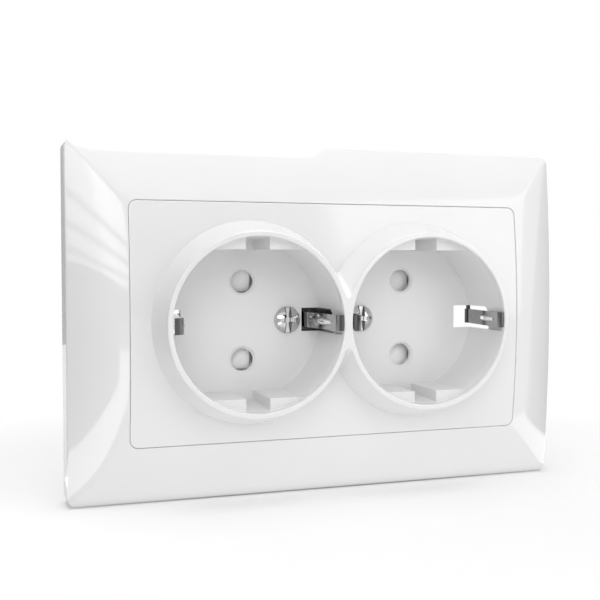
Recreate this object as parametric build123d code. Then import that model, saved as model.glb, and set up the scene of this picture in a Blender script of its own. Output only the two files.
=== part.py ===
from build123d import *
import os

os.makedirs("parts", exist_ok=True)

# Double wall socket. Millimetres. X right, Z up, the front faces minus Y, the wall is the plane y = 0.

# Plug interface
pin_z = 9.5
pin_hole_r = 2.8
well_r = 20.0
well_depth = 17.5

# Levels along Y, from the rim towards the wall
rim_y = -24.0
floor_thick = 1.5
bracket_gap = 0.7
sheet = 0.8
floor_y = rim_y + well_depth
floor_back_y = floor_y + floor_thick
bracket_front_y = floor_back_y + bracket_gap
bracket_back_y = bracket_front_y + sheet
bridge_back_y = bracket_back_y + sheet
carrier_front_y = bracket_back_y

# Frame
frame_half_w = 62.75
frame_half_h = 42.15
frame_draft = 0.25
frame_corner_r = 2.0
frame_wall = 2.0
front_wall = 2.35
edge_mid_y = -10.2
edge_bow = 2.25
edge_round = 0.6
mitre_round = 1.2
hollow_r = 1.5
hollow_step = 2.4
hollow_step_w = 3.4
hollow_wide = 7.6
ledge_front_y = -10.5
ledge_thick = 2.0
ledge_root = 2.0
ledge_reach = 2.5
ledge_blend = 1.0

# Panel of the socket face
panel_half_w = 49.25
panel_half_h = 28.2
panel_corner_r = 1.9
panel_groove = 0.16
panel_mid_y = -16.1
panel_bow = 2.0
panel_thick = 2.0
skirt_wall = 1.6

# Collars and wells
well_gap = 2.0
well_taper = 0.3
rim_land = 1.15
collar_slope = 0.295
collar_sink = 3.1
web_round = 1.0
rim_round = 0.3
tube_wall = 1.4
guide_high = 2.95
guide_drop = 3.0
guide_groove = 5.7
pin_ring_w = 0.5
pin_ring_deep = 0.35
socket_x = well_r + well_gap / 2
well_floor_r = well_r - well_taper
tube_r = well_r + tube_wall
collar_back_y = panel_mid_y + collar_sink

# Earth clips and their slots
clip_half_w = 1.85
clip_drop = 0.6
clip_foot_in = 1.05
clip_bow_in = 1.45
clip_tip_in = 0.6
clip_bow_up = 5.4
clip_tip_up = 1.8
clip_tip_cut = 0.2
dimple_length = 9.2
dimple_high = 0.5
dimple_r = 1.45
dimple_up = 8.2
bend_r = 2.0
bow_bend_r = 1.1
hook_bend_r = 0.5
hook_in = 0.9
arm_low = 3.3
arm_high = 5.4
arm_root = 3.0
plate_half_h = 3.4
plate_in = 0.5
slot_length = 4.9
slot_through = 0.4
slot_half_w = 2.9
neck_half_w = 2.2
neck_deep = 0.6
neck_up = 8.5
neck_slope = 1.2
neck_end_up = 1.3
slot_in_r = well_r - slot_length

# Screws and rivets
face_screw_in = 11.3
face_head_r = 3.3
face_head_high = 1.9
face_head_edge = 0.5
face_head_round = 0.15
face_shank = 8.5
screw_r = 1.45
screw_clear = 0.25
thread_gap = 0.05
slot_w = 1.2
cross_w = 1.1
cross_length = 3.8
small_slot_w = 0.7
earth_rivet_r = 0.8
earth_rivet_head_r = 1.3
earth_rivet_head = 0.4
earth_rivet_in = 2.1
earth_rivet_z = 2.1
face_screw_x = socket_x - face_screw_in
earth_rivet_x = face_screw_x - earth_rivet_in

# Earth bridge
bridge_tail_half_w = 3.0
bridge_tail_top = 16.0
bridge_fit = 0.3
earth_terminal_z = 12.6
bridge_half_w = earth_rivet_x + earth_rivet_head_r

# Shutters
run_gap = 0.3
shutter_thick = 2.6
shutter_lap = 0.2
shutter_ramp = 1.0
shutter_fall = 1.0
shutter_gap_x = 0.5
shutter_gap_z = 0.35
shutter_waist = 1.5
shutter_waist_half_h = 4.0
spring_z = 5.6
spring_end_x = -5.0
spring_r = 0.95
spring_wire_r = 0.17
spring_turns = 6
channel_half = 1.3
pocket_floor = 1.3
pocket_over = 7.5
carrier_side = 1.4
shutter_half_w = pin_hole_r + shutter_lap
shutter_half_h = pin_z + pin_hole_r + shutter_lap
shutter_travel = 2 * shutter_half_w
shutter_front_y = carrier_front_y + run_gap
shutter_back_y = shutter_front_y + shutter_thick
pad_front_y = floor_back_y + run_gap
pad_low_z = pin_z - pin_hole_r - shutter_lap
pocket_back_y = shutter_back_y + run_gap
pocket_half_h = shutter_half_h + run_gap
spring_start_x = shutter_half_w - socket_x

# Contacts
tulip_room = 1.6
tulip_length = 12.9
tulip_gap = 2.55
tulip_pinch = 0.35
tulip_lip = 0.25
tulip_half_w = 2.25
bus_half_w = 3.0
hoop_wire = 0.35
hoop_fit = 0.05
hoop_width = 2.4
hoop_up = 2.9
box_front_y = pocket_back_y + pocket_floor
tulip_front_y = box_front_y + tulip_room
bus_y = tulip_front_y + tulip_length

# Terminals
terminal_x = 7.0
clamp_half_w = 3.0
clamp_half_h = 2.8
clamp_high = 7.5
clamp_wall = 1.2
clamp_top = 1.6
terminal_screw_r = 1.5
terminal_head_r = 2.4
terminal_head = 1.8
terminal_lift = 3.5
terminal_end = 1.5
earth_clamp_gap = 1.4
earth_clamp_high = 6.3
earth_head = 1.2
earth_screw_end = 2.0

# Base in the wall box
base_wall = 1.5
base_clear = 1.0
base_over = 7.9
shelf_high = 3.2
shelf_half_h = 1.5
rib_z = 4.2
rib_half = 0.6
rib_end = 0.4
wire_hole_r = 1.9
wire_hole_in = 2.8
cover_screw_r = 1.25
cover_head_r = 1.9
cover_head = 1.3
cover_seat = 1.5
cover_boss_r = 1.9
cover_reach = 10.5
cover_in = 2.2
base_half_h = pin_z + base_over
base_r = ((socket_x + tulip_half_w) ** 2 + (pin_z + bus_half_w) ** 2) ** 0.5 + base_wall + base_clear
base_back_y = bus_y + sheet + shelf_high + base_wall
cover_screw_x = terminal_x + clamp_half_w + cover_boss_r + 2 * thread_gap
cover_screw_z = base_half_h - cover_in
wire_hole_z = base_half_h - wire_hole_in

# Carrier and mounting strap
carrier_flange = 3.7
carrier_corner_r = 2.0
strap_thick = 1.0
strap_side = 9.6
strap_end = 5.5
strap_corner_r = 7.0
strap_fit = 0.2
strap_lip = 3.0
strap_lip_half_w = 24.0
box_spacing = 60.0
box_hole_r = 2.1
strap_rivet_r = 1.2
strap_rivet_head_r = 2.1
strap_rivet_head = 0.5
strap_rivet_x = 13.0
carrier_half_w = socket_x + shutter_half_w + run_gap + carrier_side
window_half_h = pocket_half_h + pocket_over
carrier_half_h = window_half_h + carrier_flange
strap_half_w = carrier_half_w + strap_side
strap_half_h = box_spacing / 2 + strap_end
strap_rivet_z = (window_half_h + carrier_half_h) / 2

# Spreading claws
claw_in = 2.7
claw_pivot_y = 2.2
claw_half_w = 3.6
claw_fork_half_w = 2.1
claw_fork_y = 9.3
trunnion_r = 1.0
ear_gap = 0.5
ear_thick = 1.0
ear_half = 2.0
ear_over = 2.2
claw_screw_r = 1.5
claw_head_r = 2.5
claw_head = 2.0
claw_head_round = 0.8
claw_head_gap = 0.4
claw_notch = 0.7
claw_travel = 6.0
claw_tip_y = 10.0
claw_tip_chamfer = 0.6
run_fit = 0.08
claw_z = window_half_h + claw_in
ear_x = claw_half_w + ear_gap
claw_head_y = -strap_thick - claw_head_gap - claw_travel

# Reach of cutting solids past what they cut
past = 5.0
far = 4 * past


def prism(sketch, back_y, front_y):
    return extrude(Plane.XZ.offset(-back_y) * sketch, amount=back_y - front_y)


def bar(radius, x, z, back_y, front_y):
    return prism(Pos(x, z) * Circle(radius), back_y, front_y)


def drill(radius, x, z):
    return bar(radius, x, z, far, rim_y - past)


def taper(back_r, front_r, x, z, back_y, front_y):
    cone = Cone(back_r, front_r, back_y - front_y, align=(Align.CENTER, Align.CENTER, Align.MIN))
    return Plane.XZ.offset(-back_y) * Pos(x, z) * cone


def block(x0, x1, y0, y1, z0, z1):
    middle = Pos((x0 + x1) / 2, (y0 + y1) / 2, (z0 + z1) / 2)
    return middle * Box(abs(x1 - x0), abs(y1 - y0), abs(z1 - z0))


def rounded(half_w, half_h, radius):
    return RectangleRounded(2 * half_w, 2 * half_h, radius)


def cut_outline(points, x, half_w):
    outline = make_face(Polyline([Vector(x, y, z) for z, y in points], close=True))
    return extrude(outline, amount=half_w, dir=(1, 0, 0), both=True)


def half_turn(shape):
    return Rot(0, 180, 0) * shape


def mirrored_x(shape):
    return mirror(shape, about=Plane.YZ)


def mirrored_z(shape):
    return mirror(shape, about=Plane.XY)


def bow_solid(mid_y, bow, half_h, half_w):
    radius = (half_h ** 2 + bow ** 2) / (2 * bow)
    return Pos(0, mid_y + radius, 0) * Rot(0, 90, 0) * Cylinder(radius, 2 * half_w)


# Outer frame: bowed pillow bars, mitred at the corners, with a ledge that the panel's skirt presses on.
window_w = panel_half_w + panel_groove / 2
window_h = panel_half_h + panel_groove / 2
in_bow = panel_bow / panel_half_h ** 2
out_bow = edge_bow / frame_half_h ** 2


def bar_level(t, z):
    share = min(max(t, 0.0), 1.0)
    pillow = 0.4 * t + 0.6 * t * abs(t) if t > 0 else 0.4 * t
    level = panel_mid_y + (edge_mid_y - panel_mid_y) * pillow
    return level + ((1 - share) * in_bow + share * out_bow) * z * z


def bar_x(t):
    return window_w + t * (frame_half_w - window_w)


def bar_z(t):
    return window_h + t * (frame_half_h - window_h)


skin_reach = frame_half_h + past
skin_levels = [skin_reach * k / 3 for k in range(-3, 4)]
skin_rows = []
for t in (-0.3, -0.1, 0.1, 0.3, 0.5, 0.7, 0.9, 1.1):
    skin_rows.append([Vector(bar_x(t), bar_level(t, z), z) for z in skin_levels])
side_skin = Face.make_surface_from_array_of_points(skin_rows, tol=0.002, min_deg=3, max_deg=5)
side_cut = Solid.extrude(side_skin, Vector(0, 1.25 * rim_y, 0))
profile = [(bar_z(t), bar_level(t, bar_z(t))) for t in (0.0, 0.2, 0.4, 0.6, 0.8, 1.0, 1.15)]
front_y = 2 * rim_y
inner_z = bar_z(-0.3)
top_line = Spline([Vector(0, y, z) for z, y in profile])
top_back = Polyline(top_line @ 1, (0, front_y, profile[-1][0]), (0, front_y, inner_z), top_line @ 0)
top_face = make_face(Wire([top_line] + list(top_back.edges())))
top_cut = extrude(top_face, amount=2 * frame_half_w, dir=(1, 0, 0), both=True)
rear = rounded(frame_half_w + frame_draft, frame_half_h + frame_draft, frame_corner_r)
front = rounded(frame_half_w - frame_draft, frame_half_h - frame_draft, frame_corner_r)
outer_frame = loft([Plane.XZ * rear, Plane.XZ.offset(-2 * edge_mid_y) * front])
outer_frame = outer_frame - side_cut - mirrored_x(side_cut) - top_cut - mirrored_z(top_cut)


def at_edge(edge):
    mid = edge @ 0.5
    near = 2 * edge_round
    return abs(mid.X) > frame_half_w - near or abs(mid.Z) > frame_half_h - near


front_edges = [e for e in outer_frame.edges() if (e @ 0.5).Y < edge_mid_y / 2]
mitres = []
for edge in front_edges:
    mid = edge @ 0.5
    ends = [edge @ 0, edge @ 1]
    at_corner = abs(mid.X) > window_w - past and abs(mid.Z) > window_h - past
    if at_corner and not at_edge(edge) and abs(ends[0].Z - ends[1].Z) > past:
        mitres.append(edge)
outer_frame = fillet(mitres, mitre_round)
front_edges = [e for e in outer_frame.edges() if (e @ 0.5).Y < edge_mid_y / 2]
outer_rim = [e for e in front_edges if at_edge(e) and abs((e @ 0).Y - (e @ 1).Y) < 1.5 * edge_bow]
outer_frame = fillet(outer_rim, edge_round)
hollow_y = edge_mid_y + edge_bow + front_wall
ledge_back_y = ledge_front_y + ledge_thick
hollow_steps = [(frame_wall, hollow_y), (frame_wall + hollow_step_w, hollow_y - hollow_step)]
hollow_steps.append((frame_wall + hollow_wide, ledge_front_y - ledge_blend))
for inset, level in hollow_steps:
    outer_frame -= prism(rounded(frame_half_w - inset, frame_half_h - inset, hollow_r), past, level)
ledge = rounded(window_w + ledge_root, window_h + ledge_root, hollow_r)
outer_frame += prism(ledge, ledge_back_y, ledge_front_y - 1.5 * ledge_blend)
outer_frame -= prism(rounded(window_w, window_h, panel_corner_r + panel_groove / 2), ledge_front_y, front_y)
outer_frame -= prism(rounded(window_w - ledge_reach, window_h - ledge_reach, hollow_r), past, front_y)
export_step(outer_frame, "parts/outer_frame.step")

# Socket face: bowed panel with a skirt, two joined collars and two wells, one moulding.
panel_w = panel_half_w - panel_groove / 2
panel_h = panel_half_h - panel_groove / 2
skirt = prism(rounded(panel_w, panel_h, panel_corner_r), ledge_front_y, rim_y)
socket_face = skirt & bow_solid(panel_mid_y, panel_bow, panel_half_h, panel_half_w)
panel_edge = []
for edge in socket_face.edges():
    if (edge @ 0.5).Y < ledge_front_y - 1.0 and abs((edge @ 0).Y - (edge @ 1).Y) < panel_bow / 4:
        panel_edge.append(edge)
socket_face = fillet(panel_edge, rim_round)
core = prism(rounded(panel_w - skirt_wall, panel_h - skirt_wall, panel_corner_r / 2), 0, rim_y)
socket_face -= core & bow_solid(panel_mid_y + panel_thick, panel_bow, panel_half_h, panel_half_w)
collar_r = well_r + rim_land
collar_back_r = collar_r + collar_slope * (collar_back_y - rim_y)
collar = taper(collar_back_r, collar_r, socket_x, 0, collar_back_y, rim_y)
collars = collar + mirrored_x(collar)
valleys = [e for e in collars.edges() if abs((e @ 0.5).X) < 0.01 and abs((e @ 0).Y - (e @ 1).Y) > 1.0]
collars = fillet(valleys, web_round)
lands = [e for e in collars.edges() if abs((e @ 0.5).Y - rim_y) < 0.01]
collars = fillet(lands, rim_round)
socket_face += collars
for centre in (-socket_x, socket_x):
    socket_face += bar(tube_r, centre, 0, floor_back_y, collar_back_y - tube_wall)


def well_cut(centre):
    well = taper(well_floor_r, well_r, centre, 0, floor_y, rim_y)
    guides = bar(tube_r, centre, 0, floor_y, rim_y + guide_drop)
    lane = well_r - guide_high
    guides -= block(centre - tube_r, centre + tube_r, rim_y, 0, -lane, lane)
    guides -= block(centre - guide_groove / 2, centre + guide_groove / 2, rim_y, 0, -tube_r, tube_r)
    return well - guides


def clip_slot(centre, side):
    neck_y = floor_y - neck_up
    near = centre + side * slot_in_r
    lane = block(near, centre + side * (tube_r + slot_through), neck_y, 0, -slot_half_w, slot_half_w)
    neck_high = neck_half_w - clip_drop
    neck_low = -neck_half_w - clip_drop
    points = [(slot_half_w, neck_y), (neck_high, neck_y - neck_slope), (neck_high, rim_y + neck_end_up)]
    points += [(neck_low, rim_y + neck_end_up), (neck_low, neck_y - neck_slope), (-slot_half_w, neck_y)]
    start = centre + side * (well_floor_r - past)
    outline = make_face(Polyline([Vector(start, y, z) for z, y in points], close=True))
    return lane + extrude(outline, amount=past + well_taper + neck_deep, dir=(side, 0, 0))


for centre in (-socket_x, socket_x):
    socket_face -= well_cut(centre)
    for z in (-pin_z, pin_z):
        socket_face -= drill(pin_hole_r, centre, z)
        ring_y = floor_y + pin_ring_deep
        socket_face -= taper(pin_hole_r + pin_ring_w / 3, pin_hole_r + pin_ring_w, centre, z, ring_y, floor_y)
    for side in (-1, 1):
        socket_face -= clip_slot(centre, side)
for x in (-face_screw_x, face_screw_x):
    socket_face -= drill(screw_r + screw_clear, x, 0)
inner_rim = []
for edge in socket_face.edges():
    mid = edge @ 0.5
    reach = ((abs(mid.X) - socket_x) ** 2 + mid.Z ** 2) ** 0.5
    if abs(mid.Y - rim_y) < 0.01 and abs(reach - well_r) < 0.01:
        inner_rim.append(edge)
socket_face = fillet(inner_rim, rim_round)
export_step(socket_face, "parts/socket_face.step")

# Face screws: domed heads with a slot and a cross, threaded into the earth brackets.


def face_screw(x):
    top_y = floor_y - face_head_high
    head = bar(face_head_r, x, 0, floor_y, top_y)
    dome = face_head_high - face_head_edge
    dome_r = (face_head_r ** 2 + dome ** 2) / (2 * dome)
    head = head & Pos(x, top_y + dome_r, 0) * Sphere(dome_r)
    head = fillet(head.edges().sort_by(Axis.Y)[0], face_head_round)
    head += bar(screw_r, x, 0, floor_y + face_shank, floor_y)
    deep_y = top_y + slot_w
    head -= block(x - slot_w / 2, x + slot_w / 2, top_y - past, deep_y, -past, past)
    for wide, high in ((cross_w, cross_length), (cross_length, cross_w)):
        head -= block(x - wide / 2, x + wide / 2, top_y - past, deep_y, -high / 2, high / 2)
    return head


face_screws = [face_screw(-face_screw_x), face_screw(face_screw_x)]
export_step(Compound(children=face_screws), "parts/face_screws.step")

# Earth brackets: one bent strip each, its two legs are the clips in the well.
# The outer leg hangs on an arm that passes above its slot.
rivet_spots = [(x, z) for x in (-earth_rivet_x, earth_rivet_x) for z in (-earth_rivet_z, earth_rivet_z)]


def earth_bracket(centre):
    foot_r = well_r - clip_foot_in
    bow_r = well_r - clip_bow_in
    tip_r = well_r - clip_tip_in
    bow_y = rim_y + clip_bow_up
    tip_y = rim_y + clip_tip_up
    leg = [(foot_r + sheet, bracket_back_y), (bow_r + sheet, bow_y), (tip_r + sheet, tip_y + clip_tip_cut)]
    leg += [(tip_r, tip_y - clip_tip_cut), (bow_r, bow_y), (foot_r, bracket_front_y)]
    points = leg + [(-r, y) for r, y in reversed(leg)]
    outline = make_face(Polyline([Vector(centre + r, y, 0) for r, y in points], close=True))
    outer = 1 if centre > 0 else -1
    for side, inside_r in ((outer, hook_bend_r), (-outer, bend_r)):
        for level, radius in ((bracket_back_y, inside_r + sheet), (bracket_front_y, inside_r)):
            corners = [v for v in outline.vertices() if abs(v.Y - level) < 0.01 and side * (v.X - centre) > 0]
            outline = fillet(corners, radius)
    outline = fillet([v for v in outline.vertices() if abs(v.Y - bow_y) < 0.01], bow_bend_r)
    strip = Pos(0, 0, -clip_drop) * extrude(outline, amount=clip_half_w, dir=(0, 0, 1), both=True)
    plate_r = slot_in_r - plate_in
    plate_x = centre + outer * plate_r
    hook_x = centre + outer * (foot_r - hook_in)
    back_x = centre + outer * (foot_r + sheet)
    strip -= block(plate_x, hook_x, rim_y, bracket_back_y, -past, past)
    strip += block(hook_x, back_x, bracket_front_y, bracket_back_y, 0, arm_high)
    strip += block(plate_x - outer * arm_root, back_x, bracket_front_y, bracket_back_y, arm_low, arm_high)
    strip += block(plate_x - outer * arm_root, plate_x, bracket_front_y, bracket_back_y, 0, arm_high)
    plate = prism(Pos(centre, 0) * Rectangle(2 * plate_r, 2 * plate_half_h), bracket_back_y, bracket_front_y)
    strip += plate
    for side in (-1, 1):
        face_x = centre + side * bow_r
        sunk = Pos(face_x + side * (dimple_r - dimple_high), floor_y - dimple_up, -clip_drop)
        straight = dimple_length - 2 * dimple_r
        rib = sunk * Rot(90, 0, 0) * Cylinder(dimple_r, straight)
        for end in (-1, 1):
            rib += sunk * Pos(0, end * straight / 2, 0) * Sphere(dimple_r)
        strip += rib & block(face_x - side * dimple_r, face_x + side * sheet / 2, rim_y, 0, -past, past)
    strip -= drill(screw_r + thread_gap, face_screw_x if centre > 0 else -face_screw_x, 0)
    for x, z in rivet_spots:
        strip -= drill(earth_rivet_r + thread_gap, x, z)
    return strip


export_step(earth_bracket(-socket_x), "parts/left_earth_bracket.step")
export_step(earth_bracket(socket_x), "parts/right_earth_bracket.step")

# Earth bridge: joins the two brackets and leads to the earth terminal.


def bridge_plan(fit):
    tail_h = bridge_tail_top + fit
    plan = Rectangle(2 * (bridge_half_w + fit), 2 * (plate_half_h + fit))
    return plan + Pos(0, tail_h / 2) * Rectangle(2 * (bridge_tail_half_w + fit), tail_h)


earth_bridge = prism(bridge_plan(0), bridge_back_y, bracket_back_y)
for x, z in rivet_spots:
    earth_bridge -= drill(earth_rivet_r + thread_gap, x, z)
for x in (-face_screw_x, face_screw_x):
    earth_bridge -= drill(screw_r + screw_clear, x, 0)
earth_bridge -= drill(terminal_screw_r + thread_gap, 0, earth_terminal_z)
export_step(earth_bridge, "parts/earth_bridge.step")


def rivet(radius, head_r, x, z, back_y, front_y, head):
    shank = bar(radius, x, z, back_y, front_y)
    return shank + bar(head_r, x, z, front_y, front_y - head) + bar(head_r, x, z, back_y + head, back_y)


rivets = []
for x, z in rivet_spots:
    grip = (bridge_back_y, bracket_front_y)
    rivets.append(rivet(earth_rivet_r, earth_rivet_head_r, x, z, *grip, earth_rivet_head))
export_step(Compound(children=rivets), "parts/earth_rivets.step")

# Shutters: each slide closes both pin holes of a well with a ramped pad. The pins push it to the middle.
# The pads fall away to one side as well, and the left ones stop short of the edge of their holes.
low_x = -socket_x - shutter_half_w
high_x = -socket_x + shutter_half_w
slide = block(low_x, high_x, shutter_front_y, shutter_back_y, -shutter_half_h, shutter_half_h)
waist_x = high_x - shutter_waist
slide -= block(waist_x, high_x, rim_y, far, -shutter_waist_half_h, shutter_waist_half_h)
ramp = make_face(Polyline(
    Vector(low_x, shutter_back_y, 0),
    Vector(low_x, pad_front_y + shutter_ramp, 0),
    Vector(high_x, pad_front_y, 0),
    Vector(high_x, shutter_back_y, 0),
    close=True,
))
pad_high = shutter_half_h - pad_low_z
pad = extrude(ramp, amount=pad_high, dir=(0, 0, 1))
fall = make_face(Polyline(
    Vector(low_x, shutter_back_y, 0),
    Vector(low_x, pad_front_y + shutter_fall, 0),
    Vector(low_x, pad_front_y, pad_high),
    Vector(low_x, shutter_back_y, pad_high),
    close=True,
))
pad = pad & extrude(fall, amount=2 * shutter_half_w, dir=(1, 0, 0))
slide = slide + Pos(0, 0, pad_low_z) * pad + Pos(0, 0, -shutter_half_h) * pad
left_slide = slide
for low_z in (pad_low_z, -shutter_half_h):
    side_x = high_x - shutter_lap - shutter_gap_x
    side_z = low_z + shutter_lap + shutter_gap_z
    left_slide -= block(side_x, high_x, rim_y, shutter_front_y, low_z, low_z + pad_high)
    left_slide -= block(low_x, high_x, rim_y, shutter_front_y, low_z, side_z)
export_step(left_slide, "parts/left_shutter.step")
export_step(half_turn(slide), "parts/right_shutter.step")

# Shutter springs: wire coils between each slide and a stop in the carrier.
spring_y = (shutter_front_y + shutter_back_y) / 2
coil_start_x = spring_start_x + spring_wire_r + thread_gap
coil_length = spring_end_x - spring_wire_r - thread_gap - coil_start_x
coil = Helix(pitch=coil_length / spring_turns, height=coil_length, radius=spring_r)
wire_end = Plane(origin=coil @ 0, z_dir=coil % 0) * RegularPolygon(spring_wire_r, 6)
wire = sweep(wire_end, path=coil, is_frenet=True)
left_spring = Pos(coil_start_x, spring_y, -spring_z) * Rot(0, 90, 0) * wire
export_step(left_spring, "parts/left_shutter_spring.step")
export_step(half_turn(left_spring), "parts/right_shutter_spring.step")

# Shutter carrier: cover of the base, with the pockets of the two slides.
cup_plan = Circle(base_r) & Rectangle(2 * carrier_half_w, 2 * base_half_h)
carrier = prism(rounded(carrier_half_w, carrier_half_h, carrier_corner_r), -strap_thick, carrier_front_y)
carrier += prism(rounded(carrier_half_w, window_half_h, carrier_corner_r), 0, -strap_thick)
carrier += prism(cup_plan, box_front_y, -strap_thick)
pocket_x = high_x + shutter_travel + run_gap
pocket = block(low_x - run_gap, pocket_x, rim_y, pocket_back_y, -pocket_half_h, pocket_half_h)
core_half_h = shutter_waist_half_h - run_gap
pocket -= block(pocket_x - shutter_waist, pocket_x, rim_y, far, -core_half_h, core_half_h)
channel_low = -spring_z - channel_half
channel_high = -spring_z + channel_half
pocket += block(high_x, spring_end_x, rim_y, pocket_back_y, channel_low, channel_high)
carrier = carrier - pocket - half_turn(pocket)
for x in (-socket_x, socket_x):
    for z in (-pin_z, pin_z):
        carrier -= drill(pin_hole_r, x, z)
carrier -= prism(bridge_plan(bridge_fit), bridge_back_y, rim_y)
for x, z in rivet_spots:
    rivet_room = bridge_back_y + earth_rivet_head + bridge_fit
    carrier -= bar(earth_rivet_head_r + bridge_fit, x, z, rivet_room, rim_y)
for side in (-1, 1):
    carrier -= drill(screw_r + screw_clear, side * face_screw_x, 0)
    carrier -= drill(terminal_head_r + screw_clear, -side * terminal_x, side * pin_z)
clamp_room_w = clamp_half_w + terminal_x / 6
clamp_room_h = clamp_half_h + 2 * screw_clear
clamp_front_y = bridge_back_y + earth_clamp_gap
low_z = earth_terminal_z - clamp_room_h
high_z = earth_terminal_z + clamp_room_h
carrier -= block(-clamp_room_w, clamp_room_w, clamp_front_y - bridge_fit, far, low_z, high_z)
carrier -= drill(terminal_screw_r + screw_clear, 0, earth_terminal_z)
cover_spots = [(x, z) for x in (-cover_screw_x, cover_screw_x) for z in (-cover_screw_z, cover_screw_z)]
for x, z in cover_spots:
    carrier -= drill(cover_screw_r + thread_gap, x, z)
    carrier -= bar(cover_head_r + screw_clear, x, z, carrier_front_y + cover_seat, rim_y)
strap_rivet_spots = [(x, z) for x in (-strap_rivet_x, strap_rivet_x) for z in (-strap_rivet_z, strap_rivet_z)]
for x, z in strap_rivet_spots:
    carrier -= drill(strap_rivet_r + thread_gap, x, z)
notch_w = claw_head_r + claw_notch
notch = block(-notch_w, notch_w, rim_y, -strap_thick, window_half_h, carrier_half_h + past)
carrier = carrier - notch - mirrored_z(notch)
export_step(carrier, "parts/shutter_carrier.step")

# Mounting strap: steel plate on the wall, with two holes for the screws of the wall box.
strap_plan = rounded(strap_half_w, strap_half_h, strap_corner_r)
strap_plan -= rounded(carrier_half_w + strap_fit, window_half_h + strap_fit, carrier_corner_r)
strap = prism(strap_plan, 0, -strap_thick)
lip_y = -strap_thick - strap_lip
lip = block(-strap_lip_half_w, strap_lip_half_w, lip_y, 0, strap_half_h - strap_thick, strap_half_h)
strap = strap + lip + mirrored_z(lip)
for side in (-1, 1):
    ear = block(side * ear_x, side * (ear_x + ear_thick), -strap_thick / 2, claw_pivot_y + ear_over,
                claw_z - ear_half, claw_z + ear_half)
    ear -= Pos(0, claw_pivot_y, claw_z) * Rot(0, 90, 0) * Cylinder(trunnion_r + run_fit, 4 * ear_x)
    strap = strap + ear + mirrored_z(ear)
for side in (-1, 1):
    strap -= drill(box_hole_r, 0, side * box_spacing / 2)
    strap -= drill(claw_screw_r + run_fit, 0, side * claw_z)
for x, z in strap_rivet_spots:
    strap -= drill(strap_rivet_r + thread_gap, x, z)
export_step(strap, "parts/mounting_strap.step")
rivets = []
for x, z in strap_rivet_spots:
    rivets.append(rivet(strap_rivet_r, strap_rivet_head_r, x, z, 0, carrier_front_y, strap_rivet_head))
export_step(Compound(children=rivets), "parts/strap_rivets.step")

# Claws: they swing out on trunnions in the strap's ears when their screws push on the ramp.
hook = [(-1.3, -1.0), (-1.3, 1.0), (6.4, 4.1), (8.2, 3.7), (14.7, -2.8), (16.4, -2.8), (17.0, 1.2)]
hook += [(18.1, 1.0), (17.4, -3.9), (14.2, -3.9), (7.4, 2.9), (6.7, 2.3), (1.2, -1.0)]
claw = cut_outline([(claw_z + dz, claw_pivot_y + dy) for dy, dz in hook], 0, claw_half_w)
claw -= block(-claw_fork_half_w, claw_fork_half_w, rim_y, claw_fork_y, 0, 2 * claw_z)
for side in (-1, 1):
    near = side * (claw_fork_half_w + ear_gap)
    tip = side * (ear_x + ear_thick)
    turn = Pos((near + tip) / 2, claw_pivot_y, claw_z) * Rot(0, 90, 0)
    claw += turn * Cylinder(trunnion_r, abs(tip - near))
export_step(claw, "parts/upper_claw.step")
export_step(mirrored_z(claw), "parts/lower_claw.step")
claw_screw = bar(claw_screw_r, 0, claw_z, claw_tip_y, claw_head_y)
claw_screw = chamfer(claw_screw.edges().sort_by(Axis.Y)[-1], claw_tip_chamfer)
head = bar(claw_head_r, 0, claw_z, claw_head_y, claw_head_y - claw_head)
claw_screw += fillet(head.edges().sort_by(Axis.Y)[0], claw_head_round)
slot_y = claw_head_y - claw_head / 2
claw_screw -= block(-past, past, rim_y, slot_y, claw_z - small_slot_w / 2, claw_z + small_slot_w / 2)
export_step(claw_screw, "parts/upper_claw_screw.step")
export_step(mirrored_z(claw_screw), "parts/lower_claw_screw.step")

# Base housing: the cup in the wall box that holds the contacts.
room_w = carrier_half_w - base_wall
room_plan = Circle(base_r - base_wall) & Rectangle(2 * room_w, 2 * (base_half_h - base_wall))
base_floor_y = base_back_y - base_wall
base = prism(cup_plan, base_back_y, box_front_y) - prism(room_plan, base_floor_y, box_front_y - past)
rib_w = room_w - rib_end
root_y = base_back_y - base_wall / 3
for side in (-1, 1):
    base += block(-rib_w, rib_w, box_front_y, root_y, side * rib_z - rib_half, side * rib_z + rib_half)
    shelf_z = side * pin_z
    base += block(-rib_w, rib_w, bus_y + sheet, root_y, shelf_z - shelf_half_h, shelf_z + shelf_half_h)
cover_end_y = carrier_front_y + cover_seat + cover_reach + 3 * cover_screw_r
for x, z in cover_spots:
    base += bar(cover_boss_r, x, z, root_y, box_front_y)
    base -= bar(cover_screw_r + thread_gap, x, z, cover_end_y, box_front_y - past)
for x, z in ((0, wire_hole_z), (-terminal_x, wire_hole_z), (terminal_x, -wire_hole_z)):
    base -= bar(wire_hole_r, x, z, far + base_back_y, base_floor_y - past)
export_step(base, "parts/base_housing.step")

# Busbars: one brass strip each for the upper and the lower pins, with spring leaves round each pin.


def busbar(z):
    end_x = socket_x + tulip_half_w
    strip = block(-end_x, end_x, bus_y, bus_y + sheet, z - bus_half_w, z + bus_half_w)
    pinch_y = tulip_front_y + tulip_length / 4
    bend_y = bus_y - tulip_length / 2
    inner = [(tulip_gap + tulip_lip, tulip_front_y), (tulip_gap - tulip_pinch, pinch_y)]
    inner += [(tulip_gap, bend_y), (tulip_gap, bus_y + sheet)]
    leaf = inner + [(d + sheet, y) for d, y in reversed(inner)]
    for x in (-socket_x, socket_x):
        for side in (-1, 1):
            strip += cut_outline([(z + side * d, y) for d, y in leaf], x, tulip_half_w)
    return strip


export_step(busbar(pin_z), "parts/live_busbar.step")
export_step(busbar(-pin_z), "parts/neutral_busbar.step")

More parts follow.
